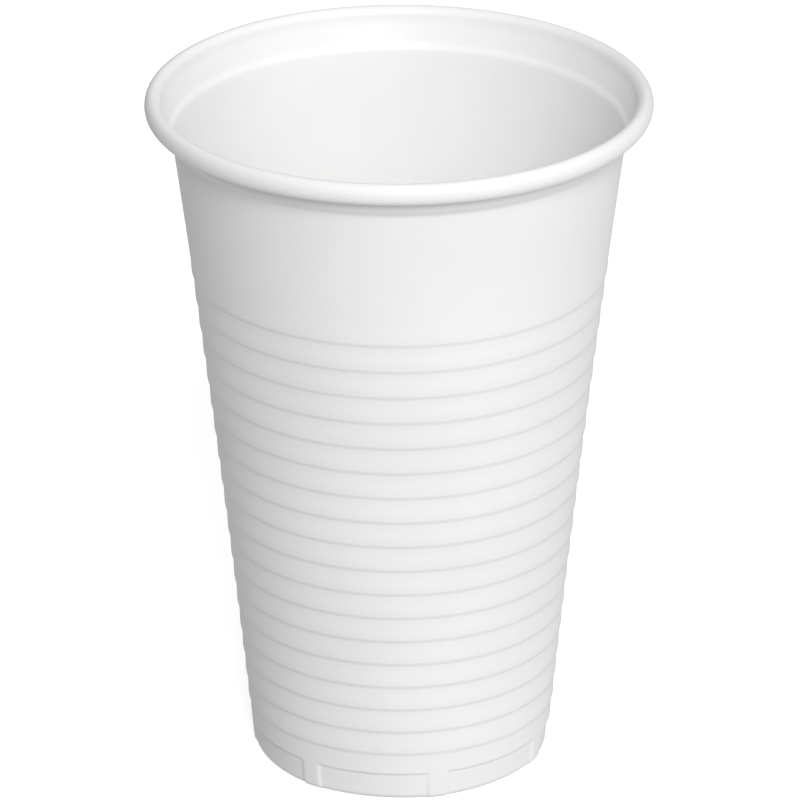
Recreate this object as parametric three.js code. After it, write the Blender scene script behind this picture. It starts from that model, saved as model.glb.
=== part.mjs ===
// Disposable drinking cup, thermoformed in one piece from polystyrene sheet.
// Millimetres, +Z up. The origin is the centre of the standing ring, which touches z = 0.

import * as THREE from 'three';

// Sheet
const SHEET = 0.3;

// Wall: its radius at the foot, how fast it opens there, and how much faster it opens higher up
const WALL_FOOT_RADIUS = 20.9;
const WALL_DRAFT = 0.0935;
const WALL_FLARE = 0.00022;

// Stiffening rings: each is a small step inwards on the way down, and they draw closer towards the foot
const RING_COUNT = 18;
const RING_TOP_HEIGHT = 72.75;
const RING_TOP_PITCH = 4.07;
const RING_CLOSING = 0.029;
const RING_STEP = 0.25;
const RING_STEP_HEIGHT = 0.6;

// Ledge below the rim
const LEDGE_HEIGHT = 93.1;
const LEDGE_RISE = 0.6;
const LEDGE_WIDTH = 0.5;

// Rolled rim: an upright oval curl of the sheet, open towards the wall
const RIM_RADIUS = 35.2;
const BEAD_HALF_WIDTH = 1.15;
const BEAD_HALF_HEIGHT = 1.5;
const BEAD_HEIGHT = 97.25;
const CURL_START = THREE.MathUtils.degToRad(180);
const CURL_END = THREE.MathUtils.degToRad(-135);
const CURL_SPANS = 9;

// Foot: rounded corner, flat standing ring, raised middle
const CORNER_RADIUS = 1.0;
const CORNER_SPANS = 4;
const STANDING_INNER_RADIUS = 17.2;
const BASE_RISE = 1.8;
const BASE_FLAT_RADIUS = 15.0;

// Flattened panels around the foot, with a narrow land between each two. A panel steps in along its
// top edge, goes on sinking down to PANEL_FULL_HEIGHT, and is deepest in the middle of its width.
const PANEL_COUNT = 7;
const PANEL_TOP = 4.4;
const PANEL_TOP_BEVEL = 0.4;
const PANEL_TOP_SHARE = 0.8;
const PANEL_FULL_HEIGHT = 1.8;
const PANEL_EDGE_DEPTH = 0.22;
const PANEL_MIDDLE_DEPTH = 0.35;
const LAND_ANGLE = 6.4;
const PANEL_SIDE_ANGLE = 1.6;
const LAND_AZIMUTH = 14.3 - 90;
const PANEL_SPANS = 5;

function wallRadius(z) {
  return WALL_FOOT_RADIUS + WALL_DRAFT * z + WALL_FLARE * z * z;
}

// Height of a ring, counted down from 0 at the top
function ringHeight(ring) {
  return RING_TOP_HEIGHT - ring * RING_TOP_PITCH + RING_CLOSING * ring * (ring - 1) / 2;
}

// Points on an oval arc from one angle to another, both ends included
function arc(centreR, centreZ, halfWidth, halfHeight, from, to, spans) {
  const points = [];
  for (let i = 0; i <= spans; i += 1) {
    const angle = from + (to - from) * i / spans;
    const radius = centreR + halfWidth * Math.cos(angle);
    const height = centreZ + halfHeight * Math.sin(angle);
    points.push(new THREE.Vector2(radius, height));
  }
  return points;
}

// The side of the sheet that faces outwards and down, from the base centre to the end of the curl
function outerSide() {
  const path = [
    new THREE.Vector2(0, BASE_RISE),
    new THREE.Vector2(BASE_FLAT_RADIUS, BASE_RISE),
    new THREE.Vector2(STANDING_INNER_RADIUS, 0),
  ];
  const cornerCentre = wallRadius(CORNER_RADIUS) - CORNER_RADIUS;
  const corner = [cornerCentre, CORNER_RADIUS, CORNER_RADIUS, CORNER_RADIUS];
  path.push(...arc(...corner, -Math.PI / 2, 0, CORNER_SPANS));
  for (const height of [PANEL_FULL_HEIGHT, PANEL_TOP - PANEL_TOP_BEVEL, PANEL_TOP]) {
    path.push(new THREE.Vector2(wallRadius(height), height));
  }
  for (let ring = RING_COUNT - 1; ring >= 0; ring -= 1) {
    const height = ringHeight(ring);
    const radius = wallRadius(height);
    path.push(new THREE.Vector2(radius - RING_STEP / 2, height - RING_STEP_HEIGHT / 2));
    path.push(new THREE.Vector2(radius + RING_STEP / 2, height + RING_STEP_HEIGHT / 2));
  }
  const ledgeRadius = wallRadius(LEDGE_HEIGHT);
  path.push(new THREE.Vector2(ledgeRadius, LEDGE_HEIGHT));
  path.push(new THREE.Vector2(ledgeRadius + LEDGE_WIDTH, LEDGE_HEIGHT + LEDGE_RISE));
  const beadCentre = RIM_RADIUS - BEAD_HALF_WIDTH;
  const curl = [beadCentre, BEAD_HEIGHT, BEAD_HALF_WIDTH - SHEET, BEAD_HALF_HEIGHT - SHEET];
  path.push(...arc(...curl, CURL_START, CURL_END, CURL_SPANS));
  return path;
}

// The other side of the sheet: each point moved one sheet thickness to the left of the path
function innerSide(path) {
  return path.map((point, i) => {
    const before = path[Math.max(i - 1, 0)];
    const after = path[Math.min(i + 1, path.length - 1)];
    const into = point.clone().sub(before).normalize();
    const out = after.clone().sub(point).normalize();
    const along = into.clone().add(out).normalize();
    const straight = out.lengthSq() > 0 ? out : into;
    const reach = SHEET / Math.max(along.dot(straight), 0.5);
    return new THREE.Vector2(Math.max(point.x - along.y * reach, 0), point.y + along.x * reach);
  });
}

// The share of its depth that a panel has at a height
function panelShare(z) {
  const stepEnd = PANEL_TOP - PANEL_TOP_BEVEL;
  if (z > stepEnd) return PANEL_TOP_SHARE * Math.max(PANEL_TOP - z, 0) / PANEL_TOP_BEVEL;
  const sunk = Math.min((stepEnd - z) / (stepEnd - PANEL_FULL_HEIGHT), 1);
  return PANEL_TOP_SHARE + (1 - PANEL_TOP_SHARE) * sunk;
}

// The section planes: their azimuths in degrees and the panel depth there, none on the lands
function sectionPlanes() {
  const pitch = 360 / PANEL_COUNT;
  const panelFrom = LAND_ANGLE / 2 + PANEL_SIDE_ANGLE;
  const panelTo = pitch - panelFrom;
  const planes = [];
  for (let panel = 0; panel < PANEL_COUNT; panel += 1) {
    const land = LAND_AZIMUTH + panel * pitch;
    planes.push({ degrees: land - LAND_ANGLE / 2, depth: 0 });
    planes.push({ degrees: land + LAND_ANGLE / 2, depth: 0 });
    for (let i = 0; i <= PANEL_SPANS; i += 1) {
      const across = 2 * i / PANEL_SPANS - 1;
      const depth = PANEL_MIDDLE_DEPTH - (PANEL_MIDDLE_DEPTH - PANEL_EDGE_DEPTH) * across * across;
      planes.push({ degrees: land + panelFrom + (panelTo - panelFrom) * i / PANEL_SPANS, depth });
    }
  }
  return planes;
}

function makeCup() {
  const outer = outerSide();
  const section = [...outer, ...innerSide(outer).reverse()];
  const planes = sectionPlanes();
  const shape = new THREE.LatheGeometry(section, planes.length);
  shape.rotateX(Math.PI / 2);

  // A panel takes in the corner and the wall up to PANEL_TOP, and both sides of the sheet move in together
  const panelInner = STANDING_INNER_RADIUS + SHEET;
  const shares = section.map((point) => (point.x > panelInner ? panelShare(point.y) : 0));

  const position = shape.getAttribute('position');
  for (let i = 0; i < position.count; i += 1) {
    const plane = planes[Math.floor(i / section.length) % planes.length];
    const index = i % section.length;
    const radius = section[index].x - plane.depth * shares[index];
    const angle = THREE.MathUtils.degToRad(plane.degrees);
    position.setXYZ(i, radius * Math.cos(angle), radius * Math.sin(angle), section[index].y);
  }
  shape.computeVertexNormals();

  const plastic = new THREE.MeshStandardMaterial({ color: 0xf2f2f0, roughness: 0.3, metalness: 0 });
  const cup = new THREE.Mesh(shape, plastic);
  cup.name = 'cup';
  return cup;
}

const object = new THREE.Group();
object.add(makeCup());

export default object;
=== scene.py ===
"""A disposable drinking cup, moulded in one piece from a thin sheet of white polystyrene."""

import math

import bpy
from mathutils import Matrix, Vector


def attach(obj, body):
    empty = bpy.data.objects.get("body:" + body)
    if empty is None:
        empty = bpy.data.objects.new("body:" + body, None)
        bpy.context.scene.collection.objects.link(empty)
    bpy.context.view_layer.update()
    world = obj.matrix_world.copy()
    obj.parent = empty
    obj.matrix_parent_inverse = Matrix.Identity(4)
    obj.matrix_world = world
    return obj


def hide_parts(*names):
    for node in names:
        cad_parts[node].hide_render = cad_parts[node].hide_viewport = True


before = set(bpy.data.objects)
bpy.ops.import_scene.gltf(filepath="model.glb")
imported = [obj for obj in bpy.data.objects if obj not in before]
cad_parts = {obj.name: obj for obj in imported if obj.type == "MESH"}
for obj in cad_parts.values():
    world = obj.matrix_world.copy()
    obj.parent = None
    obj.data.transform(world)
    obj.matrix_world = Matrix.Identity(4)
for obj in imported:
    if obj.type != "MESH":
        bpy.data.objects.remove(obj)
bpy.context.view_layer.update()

MM = 0.001

# The sheet and the wall, in millimetres
SHEET = 0.3
WALL_FOOT_RADIUS = 20.9
WALL_DRAFT = 0.0935
WALL_FLARE = 0.00022

# The stiffening rings, counted down from the top one
RING_COUNT = 18
RING_TOP_HEIGHT = 72.75
RING_TOP_PITCH = 4.07
RING_CLOSING = 0.029
RING_STEP = 0.25
RING_STEP_HEIGHT = 0.85

# The ledge below the rim, and the rim's oval curl
LEDGE_HEIGHT = 93.1
LEDGE_RISE = 0.6
LEDGE_WIDTH = 0.5
LEDGE_ROUNDING = 0.38
RIM_RADIUS = 35.2
BEAD_HALF_WIDTH = 1.15
BEAD_HALF_HEIGHT = 1.5
BEAD_HEIGHT = 97.25
CURL_START = math.radians(180)
CURL_END = math.radians(-135)
CURL_SPANS = 24

# The smooth band between the top ring and the ledge: its lowest point, the gap it leaves, its spans
BAND_START = 76.5
BAND_GAP = 1.5
BAND_SPANS = 6

# The neck between the ledge and the curl: how far up it the section's points lie
NECK_SHARES = (0.4, 0.7)

# The foot: rounded corner, flat standing ring, raised middle
CORNER_RADIUS = 1.0
CORNER_SPANS = 7
STANDING_INNER_RADIUS = 17.2
BASE_RISE = 1.8
BASE_FLAT_RADIUS = 15.0
BASE_MIDDLE_RADIUS = 13.0
BASE_MIDDLE_SPANS = 5
BASE_ROUNDING = 0.6

# The panels around the foot and the lands between them
PANEL_COUNT = 7
PANEL_TOP = 4.4
PANEL_TOP_BEVEL = 0.4
PANEL_TOP_SHARE = 0.8
PANEL_FULL_HEIGHT = 1.8
PANEL_EDGE_DEPTH = 0.22
PANEL_MIDDLE_DEPTH = 0.35
LAND_ANGLE = 6.4
PANEL_SIDE_ANGLE = 1.6
LAND_AZIMUTH = 14.3 - 90.0

# The section's points by the panels: the gap above the corner, the lowest point on a panel's face, and the
# gaps beside its top edge
CORNER_GAP = 0.25
PANEL_FACE_START = 2.2
PANEL_EDGE_GAP = 0.15
PANEL_ABOVE_GAP = 0.6

# Section planes in each pitch of the panels. The first share of them is on the land, and the planes up to
# the second are on it and on the panel's sides.
COLUMNS_PER_PANEL = 34
LAND_SHARE = 0.1
SIDE_SHARE = 0.4

# Vertices nearer to each other than this, in metres, become one
MERGE_DISTANCE = 1e-6

# The studio, in metres and watts
FLOOR_HALF_SIZE = 2.5
KEY_PLACE = (0.225, -1.27, 1.0)
KEY_TARGET = (0, 0, 0.05)
KEY_SIZE = 0.6
KEY_POWER = 17.7

# Brightness of the studio's soft surround towards each side, which fades evenly from one to the next
SURROUND = {
    ("X", 1): 0.47,
    ("X", -1): 0.12,
    ("Y", 1): 0.3,
    ("Y", -1): 0.2,
    ("Z", 1): 0.42,
    ("Z", -1): 0.6,
}

# The camera: lengths in metres, angles in degrees, lens and sensor in millimetres
CAMERA_DISTANCE = 1.0058
CAMERA_HEIGHT = 0.49075
CAMERA_PITCH = 23.55
CAMERA_ROLL = -0.19
LENS = 351.54
SENSOR_WIDTH = 36.0


# ---------------------------------------------------------------- the section of the sheet

def wall_radius(z):
    return WALL_FOOT_RADIUS + WALL_DRAFT * z + WALL_FLARE * z * z


def ring_height(ring):
    return RING_TOP_HEIGHT - ring * RING_TOP_PITCH + RING_CLOSING * ring * (ring - 1) / 2


def spread(start, end, spans):
    """Values from start to end, both included."""
    return [start + (end - start) * i / spans for i in range(spans + 1)]


def arc(centre, half_width, half_height, start, end, spans):
    """Points on an oval arc, both ends included."""
    return [Vector((centre[0] + half_width * math.cos(a), centre[1] + half_height * math.sin(a)))
            for a in spread(start, end, spans)]


def round_corner(before, corner, after, reach, spans=5):
    """Points that round a corner off, starting and ending reach away from it."""
    start = corner + (before - corner).normalized() * reach
    end = corner + (after - corner).normalized() * reach
    return [start * (1 - t) ** 2 + corner * 2 * t * (1 - t) + end * t ** 2 for t in spread(0, 1, spans)]


def foot_heights():
    """Heights of the section's points over the panels, close together across their top edges."""
    bevel_end = PANEL_TOP - PANEL_TOP_BEVEL
    heights = spread(CORNER_RADIUS + CORNER_GAP, PANEL_FULL_HEIGHT, 2)
    heights += spread(PANEL_FACE_START, bevel_end - PANEL_EDGE_GAP, 3)
    heights += spread(bevel_end, PANEL_TOP, 4)
    return heights + [PANEL_TOP + PANEL_EDGE_GAP, PANEL_TOP + PANEL_ABOVE_GAP]


def wall_heights():
    """Heights of the section's points up the wall, close together across each ring's step."""
    half = RING_STEP_HEIGHT / 2
    heights = []
    for ring in reversed(range(RING_COUNT)):
        line = ring_height(ring)
        heights += spread(line - half, line + half, 4)
        heights.append((line + half + ring_height(ring - 1) - half) / 2)
    return heights


def outer_side():
    """The side of the sheet that faces outwards and down, from the base's middle to the end of the curl."""
    base_edge = Vector((BASE_FLAT_RADIUS, BASE_RISE))
    ring_edge = Vector((STANDING_INNER_RADIUS, 0))
    corner_centre = (wall_radius(CORNER_RADIUS) - CORNER_RADIUS, CORNER_RADIUS)
    ledge = Vector((wall_radius(LEDGE_HEIGHT), LEDGE_HEIGHT))
    ledge_top = ledge + Vector((LEDGE_WIDTH, LEDGE_RISE))
    curl_centre = (RIM_RADIUS - BEAD_HALF_WIDTH, BEAD_HEIGHT)
    curl_half = (BEAD_HALF_WIDTH - SHEET, BEAD_HALF_HEIGHT - SHEET)
    curl = arc(curl_centre, *curl_half, CURL_START, CURL_END, CURL_SPANS)

    path = [Vector((r, BASE_RISE)) for r in spread(0, BASE_MIDDLE_RADIUS, BASE_MIDDLE_SPANS)]
    path += round_corner(path[-1], base_edge, ring_edge, BASE_ROUNDING)
    path += round_corner(base_edge, ring_edge, Vector((corner_centre[0], 0)), BASE_ROUNDING)
    path += arc(corner_centre, CORNER_RADIUS, CORNER_RADIUS, -math.pi / 2, 0, CORNER_SPANS)
    heights = foot_heights() + wall_heights() + spread(BAND_START, LEDGE_HEIGHT - BAND_GAP, BAND_SPANS)
    path += [Vector((wall_radius(z), z)) for z in heights]
    path += round_corner(path[-1], ledge, ledge_top, LEDGE_ROUNDING)
    path += round_corner(ledge, ledge_top, curl[0], LEDGE_ROUNDING)
    path += [ledge_top.lerp(curl[0], t) for t in NECK_SHARES]
    path += curl
    return path


def inner_side(path):
    """The other side of the sheet: each point of the path moved one sheet thickness to its left."""
    side = []
    for i, point in enumerate(path):
        along = (path[min(i + 1, len(path) - 1)] - path[max(i - 1, 0)]).normalized()
        side.append(Vector((max(point.x - along.y * SHEET, 0), point.y + along.x * SHEET)))
    return side


def section_line():
    """The whole section as a line of vertices in the XZ plane, from the axis round the sheet and back."""
    outer = outer_side()
    points = outer + inner_side(outer)[::-1]
    edges = [(i, i + 1) for i in range(len(points) - 1)]
    mesh = bpy.data.meshes.new("cup")
    mesh.from_pydata([(p.x * MM, 0, p.y * MM) for p in points], edges, [])
    cup = bpy.data.objects.new("cup_shell", mesh)
    bpy.context.scene.collection.objects.link(cup)
    return cup


# ---------------------------------------------------------------- node helpers

class Tree:
    """A node tree with short ways to add and link nodes."""

    def __init__(self, nodes, links):
        self.nodes = nodes
        self.links = links

    def add(self, kind, inputs=None, **settings):
        node = self.nodes.new(kind)
        for name, value in settings.items():
            setattr(node, name, value)
        for key, value in (inputs or {}).items():
            self.feed(node.inputs[key], value)
        return node

    def feed(self, socket, value):
        if isinstance(value, bpy.types.NodeSocket):
            self.links.new(value, socket)
        else:
            socket.default_value = value

    def math(self, operation, *values, clamp=False):
        node = self.add("ShaderNodeMath", dict(enumerate(values)), operation=operation, use_clamp=clamp)
        return node.outputs[0]

    def ramp(self, value, start, end, low=0.0, high=1.0, smooth=False):
        kind = "SMOOTHSTEP" if smooth else "LINEAR"
        inputs = {"Value": value, "From Min": start, "From Max": end, "To Min": low, "To Max": high}
        return self.add("ShaderNodeMapRange", inputs, interpolation_type=kind).outputs[0]


# ---------------------------------------------------------------- the moulding tree

MOULD_INPUTS = {
    "Panels": ("NodeSocketInt", PANEL_COUNT),
    "Columns per panel": ("NodeSocketInt", COLUMNS_PER_PANEL),
    "Land azimuth": ("NodeSocketFloat", math.radians(LAND_AZIMUTH)),
    "Land angle": ("NodeSocketFloat", math.radians(LAND_ANGLE)),
    "Panel side angle": ("NodeSocketFloat", math.radians(PANEL_SIDE_ANGLE)),
    "Panel top": ("NodeSocketFloat", PANEL_TOP * MM),
    "Panel top bevel": ("NodeSocketFloat", PANEL_TOP_BEVEL * MM),
    "Panel top share": ("NodeSocketFloat", PANEL_TOP_SHARE),
    "Panel full height": ("NodeSocketFloat", PANEL_FULL_HEIGHT * MM),
    "Panel edge depth": ("NodeSocketFloat", PANEL_EDGE_DEPTH * MM),
    "Panel middle depth": ("NodeSocketFloat", PANEL_MIDDLE_DEPTH * MM),
    "Panel inner radius": ("NodeSocketFloat", (STANDING_INNER_RADIUS + SHEET) * MM),
    "Rings": ("NodeSocketInt", RING_COUNT),
    "Top ring height": ("NodeSocketFloat", RING_TOP_HEIGHT * MM),
    "Top ring pitch": ("NodeSocketFloat", RING_TOP_PITCH * MM),
    "Ring closing": ("NodeSocketFloat", RING_CLOSING * MM),
    "Ring step": ("NodeSocketFloat", RING_STEP * MM),
    "Ring step height": ("NodeSocketFloat", RING_STEP_HEIGHT * MM),
}


def add_azimuth(tree, sizes, column):
    """Each column's azimuth, and its angle from the nearest land. Columns crowd at the panel sides."""
    per = sizes["Columns per panel"]
    panel = tree.math("FLOOR", tree.math("DIVIDE", column, per))
    share = tree.math("DIVIDE", tree.math("FLOORED_MODULO", column, per), per)
    turn = tree.math("SUBTRACT", tree.math("MULTIPLY", share, 2.0), 1.0)
    size = tree.math("ABSOLUTE", turn)
    half_pitch = tree.math("DIVIDE", math.pi, sizes["Panels"])
    half_land = tree.math("DIVIDE", sizes["Land angle"], 2.0)
    side = sizes["Panel side angle"]
    rest = tree.math("SUBTRACT", half_pitch, tree.math("ADD", half_land, side))
    angle = tree.math("MULTIPLY", tree.ramp(size, 0.0, LAND_SHARE), half_land)
    angle = tree.math("ADD", angle, tree.math("MULTIPLY", tree.ramp(size, LAND_SHARE, SIDE_SHARE), side))
    angle = tree.math("ADD", angle, tree.math("MULTIPLY", tree.ramp(size, SIDE_SHARE, 1.0), rest))
    signed = tree.math("MULTIPLY", angle, tree.math("SIGN", turn))
    centre = tree.math("MULTIPLY", panel, tree.math("MULTIPLY", half_pitch, 2.0))
    azimuth = tree.math("ADD", tree.math("ADD", centre, sizes["Land azimuth"]), signed)
    return azimuth, angle, half_land, rest


def add_panel_recess(tree, sizes, radius, height, angle, half_land, rest):
    """How far the panels take the sheet in."""
    start = tree.math("ADD", half_land, sizes["Panel side angle"])
    inside = tree.ramp(angle, half_land, start, smooth=True)
    past_side = tree.math("DIVIDE", tree.math("SUBTRACT", angle, start), rest)
    across = tree.math("SUBTRACT", 1.0, past_side, clamp=True)
    extra = tree.math("SUBTRACT", sizes["Panel middle depth"], sizes["Panel edge depth"])
    crown = tree.math("MULTIPLY", extra, tree.math("SUBTRACT", 1.0, tree.math("POWER", across, 2.0)))
    depth = tree.math("MULTIPLY", inside, tree.math("ADD", sizes["Panel edge depth"], crown))
    step_end = tree.math("SUBTRACT", sizes["Panel top"], sizes["Panel top bevel"])
    stepped = tree.ramp(height, sizes["Panel top"], step_end, smooth=True)
    sunk = tree.ramp(height, step_end, sizes["Panel full height"], smooth=True)
    share = tree.math("MULTIPLY", stepped, sizes["Panel top share"])
    deeper = tree.math("MULTIPLY", sunk, tree.math("SUBTRACT", 1.0, sizes["Panel top share"]))
    share = tree.math("ADD", share, deeper)
    outside = tree.math("GREATER_THAN", radius, sizes["Panel inner radius"])
    return tree.math("MULTIPLY", tree.math("MULTIPLY", depth, share), outside)


def add_ring_offset(tree, sizes, height):
    """How far the nearest ring moves the sheet: out above its line, in below it, and back between."""
    closing = sizes["Ring closing"]
    drop = tree.math("SUBTRACT", sizes["Top ring height"], height)
    slope = tree.math("ADD", sizes["Top ring pitch"], tree.math("DIVIDE", closing, 2.0))
    twice_closed = tree.math("MULTIPLY", tree.math("MULTIPLY", closing, 2.0), drop)
    under = tree.math("SUBTRACT", tree.math("POWER", slope, 2.0), twice_closed)
    count = tree.math("DIVIDE", tree.math("SUBTRACT", slope, tree.math("SQRT", under)), closing)
    last = tree.math("SUBTRACT", sizes["Rings"], 1.0)
    ring = tree.math("MINIMUM", tree.math("MAXIMUM", tree.math("ROUND", count), 0.0), last)
    away = tree.math("MAXIMUM", tree.math("MINIMUM", tree.math("SUBTRACT", count, ring), 0.5), -0.5)
    two_pitches = tree.math("MULTIPLY", sizes["Top ring pitch"], 2.0)
    half_step = tree.math("DIVIDE", sizes["Ring step height"], two_pitches)
    edge = tree.ramp(away, tree.math("MULTIPLY", half_step, -1.0), half_step, 0.5, -0.5, smooth=True)
    return tree.math("MULTIPLY", sizes["Ring step"], tree.math("ADD", away, edge))


def moulding_tree():
    """Turns a section line about the axis and moulds the rings and the foot panels into it."""
    group = bpy.data.node_groups.new("Mould cup", "GeometryNodeTree")
    group.interface.new_socket("Geometry", in_out="INPUT", socket_type="NodeSocketGeometry")
    for name, (kind, _) in MOULD_INPUTS.items():
        group.interface.new_socket(name, in_out="INPUT", socket_type=kind)
    group.interface.new_socket("Material", in_out="INPUT", socket_type="NodeSocketMaterial")
    group.interface.new_socket("Geometry", in_out="OUTPUT", socket_type="NodeSocketGeometry")

    tree = Tree(group.nodes, group.links)
    sizes = tree.add("NodeGroupInput").outputs
    counted = tree.add("GeometryNodeAttributeDomainSize", {"Geometry": sizes["Geometry"]})
    points = counted.outputs["Point Count"]
    columns = tree.math("MULTIPLY", sizes["Panels"], sizes["Columns per panel"])
    grid_size = {"Vertices X": tree.math("ADD", columns, 1.0), "Vertices Y": points}
    grid = tree.add("GeometryNodeMeshGrid", grid_size)

    index = tree.add("GeometryNodeInputIndex").outputs[0]
    row = tree.math("FLOORED_MODULO", index, points)
    column = tree.math("FLOOR", tree.math("DIVIDE", tree.math("ADD", index, 0.5), points))
    wrapped = tree.math("FLOORED_MODULO", column, columns)
    place = tree.add("GeometryNodeInputPosition").outputs[0]
    sample = tree.add("GeometryNodeSampleIndex", data_type="FLOAT_VECTOR", domain="POINT")
    tree.feed(sample.inputs["Geometry"], sizes["Geometry"])
    tree.feed(sample.inputs["Value"], place)
    tree.feed(sample.inputs["Index"], row)
    section = tree.add("ShaderNodeSeparateXYZ", {0: sample.outputs[0]}).outputs
    radius, height = section["X"], section["Z"]

    azimuth, angle, half_land, rest = add_azimuth(tree, sizes, wrapped)
    recess = add_panel_recess(tree, sizes, radius, height, angle, half_land, rest)
    rings = add_ring_offset(tree, sizes, height)
    on_wall = tree.ramp(radius, BASE_FLAT_RADIUS * MM, STANDING_INNER_RADIUS * MM)
    rings = tree.math("MULTIPLY", rings, on_wall)
    moved = tree.math("ADD", tree.math("SUBTRACT", radius, recess), rings)
    x = tree.math("MULTIPLY", moved, tree.math("COSINE", azimuth))
    y = tree.math("MULTIPLY", moved, tree.math("SINE", azimuth))
    position = tree.add("ShaderNodeCombineXYZ", {"X": x, "Y": y, "Z": height}).outputs[0]

    shaped = tree.add("GeometryNodeSetPosition", {"Geometry": grid.outputs["Mesh"], "Position": position})
    close = {"Geometry": shaped.outputs[0], "Distance": MERGE_DISTANCE}
    merged = tree.add("GeometryNodeMergeByDistance", close)
    smooth = tree.add("GeometryNodeSetShadeSmooth", {"Geometry": merged.outputs[0]})
    real = tree.add("GeometryNodeRealizeInstances", {"Geometry": smooth.outputs[0]})
    surface = {"Geometry": real.outputs[0], "Material": sizes["Material"]}
    surfaced = tree.add("GeometryNodeSetMaterial", surface)
    tree.add("NodeGroupOutput", {"Geometry": surfaced.outputs[0]})
    return group


def make_cup(material):
    cup = section_line()
    modifier = cup.modifiers.new("mould", "NODES")
    modifier.node_group = moulding_tree()
    values = {name: value for name, (_, value) in MOULD_INPUTS.items()}
    values["Material"] = material
    for item in modifier.node_group.interface.items_tree:
        if item.in_out == "INPUT" and item.name in values:
            modifier[item.identifier] = values[item.name]
    cup.update_tag()
    graph = bpy.context.evaluated_depsgraph_get()
    shell = bpy.data.meshes.new_from_object(cup.evaluated_get(graph))
    cup.modifiers.clear()
    cup.data = shell
    shell.name = "cup_shell"
    return cup


# ---------------------------------------------------------------- the plastic

def polystyrene():
    """White sheet, faintly cloudy, with fine draw lines and a gloss that is duller in patches."""
    material = bpy.data.materials.new("polystyrene")
    material.use_nodes = True
    tree = Tree(material.node_tree.nodes, material.node_tree.links)
    shader = tree.nodes["Principled BSDF"]
    place = tree.add("ShaderNodeTexCoord").outputs["Object"]

    # Cloudiness: a slow change of white over the wall
    cloud = tree.add("ShaderNodeTexNoise", {"Vector": place, "Scale": 45.0, "Detail": 3.0, "Roughness": 0.5})
    cloudiness = tree.ramp(cloud.outputs[0], 0.35, 0.65)
    white = tree.add("ShaderNodeMix", {"Factor": cloudiness}, data_type="RGBA")
    white.inputs["A"].default_value = (0.855, 0.855, 0.85, 1)
    white.inputs["B"].default_value = (0.885, 0.885, 0.88, 1)
    tree.feed(shader.inputs["Base Color"], white.outputs["Result"])

    # Draw lines: long fine waves up the wall, and orange peel over them
    stretch = tree.add("ShaderNodeMapping", {"Vector": place, "Scale": (1.0, 1.0, 0.06)}).outputs[0]
    lines = tree.add("ShaderNodeTexNoise", {"Vector": stretch, "Scale": 420.0, "Detail": 2.0}).outputs[0]
    peel = tree.add("ShaderNodeTexNoise", {"Vector": place, "Scale": 900.0, "Detail": 2.0}).outputs[0]
    relief = tree.math("ADD", tree.math("MULTIPLY", lines, 0.7), tree.math("MULTIPLY", peel, 0.3))
    bump = tree.add("ShaderNodeBump", {"Height": relief, "Strength": 0.25, "Distance": 0.00004})
    tree.feed(shader.inputs["Normal"], bump.outputs[0])

    # Gloss: a little duller in patches
    patch = tree.add("ShaderNodeTexNoise", {"Vector": place, "Scale": 130.0, "Detail": 4.0}).outputs[0]
    tree.feed(shader.inputs["Roughness"], tree.ramp(patch, 0.3, 0.7, 0.29, 0.38))
    shader.inputs["IOR"].default_value = 1.59
    shader.inputs["Specular IOR Level"].default_value = 0.3
    return material


def floor_paint():
    """Matt white acrylic sheet, lit from behind."""
    material = bpy.data.materials.new("studio_floor")
    material.use_nodes = True
    tree = Tree(material.node_tree.nodes, material.node_tree.links)
    shader = tree.nodes["Principled BSDF"]
    place = tree.add("ShaderNodeTexCoord").outputs["Object"]
    grain = tree.add("ShaderNodeTexNoise", {"Vector": place, "Scale": 60.0, "Detail": 4.0}).outputs[0]
    tone = tree.add("ShaderNodeMix", {"Factor": grain}, data_type="RGBA")
    tone.inputs["A"].default_value = (0.9, 0.9, 0.9, 1)
    tone.inputs["B"].default_value = (0.93, 0.93, 0.93, 1)
    tree.feed(shader.inputs["Base Color"], tone.outputs["Result"])
    shader.inputs["Roughness"].default_value = 0.9
    shader.inputs["Specular IOR Level"].default_value = 0.1
    shader.inputs["Emission Color"].default_value = (1, 1, 1, 1)
    shader.inputs["Emission Strength"].default_value = 0.5
    return material


# ---------------------------------------------------------------- the studio

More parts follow.
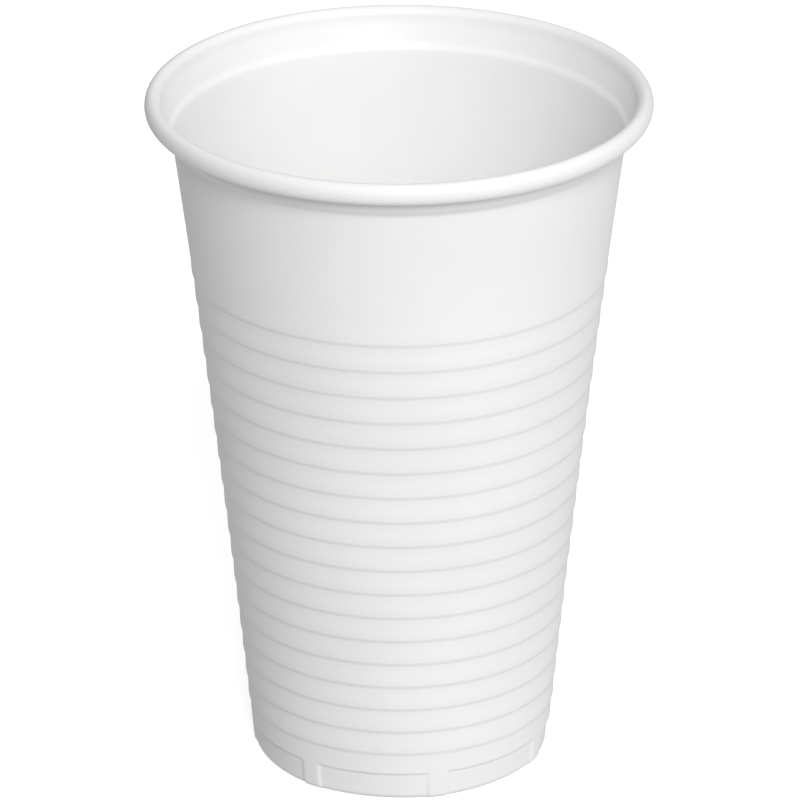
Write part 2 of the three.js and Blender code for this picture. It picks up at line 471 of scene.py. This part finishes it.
def make_floor():
    half = FLOOR_HALF_SIZE
    corners = [(-half, -half, 0), (half, -half, 0), (half, half, 0), (-half, half, 0)]
    mesh = bpy.data.meshes.new("floor")
    mesh.from_pydata(corners, [], [(0, 1, 2, 3)])
    floor = bpy.data.objects.new("floor", mesh)
    bpy.context.scene.collection.objects.link(floor)
    floor.data.materials.append(floor_paint())
    # The light from below comes from the surround, so the floor neither adds to it nor blocks it
    floor.visible_diffuse = False
    floor.visible_glossy = False
    floor.visible_shadow = False


def aim(thing, place, target):
    direction = Vector(target) - Vector(place)
    thing.matrix_world = Matrix.Translation(place) @ direction.to_track_quat("-Z", "Y").to_matrix().to_4x4()


def add_softbox(name, place, target, size, power):
    """A square area light aimed at a target."""
    light = bpy.data.lights.new(name, "AREA")
    light.size = size
    light.energy = power
    softbox = bpy.data.objects.new(name, light)
    bpy.context.scene.collection.objects.link(softbox)
    aim(softbox, place, target)


def soft_surround():
    """A world lit from all sides, brightest below and darkest on the left."""
    world = bpy.data.worlds.new("studio")
    world.use_nodes = True
    tree = Tree(world.node_tree.nodes, world.node_tree.links)
    direction = tree.add("ShaderNodeTexCoord").outputs["Generated"]
    axes = tree.add("ShaderNodeSeparateXYZ", {0: direction}).outputs
    total = 0.0
    for (axis, side), brightness in SURROUND.items():
        facing = tree.math("MULTIPLY", axes[axis], side, clamp=True)
        total = tree.math("ADD", total, tree.math("MULTIPLY", facing, brightness))
    background = tree.nodes["Background"]
    background.inputs["Color"].default_value = (1, 1, 1, 1)
    tree.feed(background.inputs["Strength"], total)
    return world


def light_studio():
    bpy.context.scene.world = soft_surround()
    add_softbox("key", KEY_PLACE, KEY_TARGET, KEY_SIZE, KEY_POWER)
    bpy.context.scene.view_settings.view_transform = "Standard"


def make_camera():
    lens = bpy.data.cameras.new("camera")
    lens.sensor_width = SENSOR_WIDTH
    lens.lens = LENS
    lens.clip_start = 0.05
    lens.clip_end = 20
    camera = bpy.data.objects.new("camera", lens)
    bpy.context.scene.collection.objects.link(camera)
    tilt = Matrix.Rotation(math.radians(90 - CAMERA_PITCH), 4, "X")
    roll = Matrix.Rotation(math.radians(CAMERA_ROLL), 4, "Z")
    camera.matrix_world = Matrix.Translation((0, -CAMERA_DISTANCE, CAMERA_HEIGHT)) @ tilt @ roll
    bpy.context.scene.camera = camera


make_camera()
light_studio()
make_floor()

cup = make_cup(polystyrene())
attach(cup, "root")
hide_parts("cup")
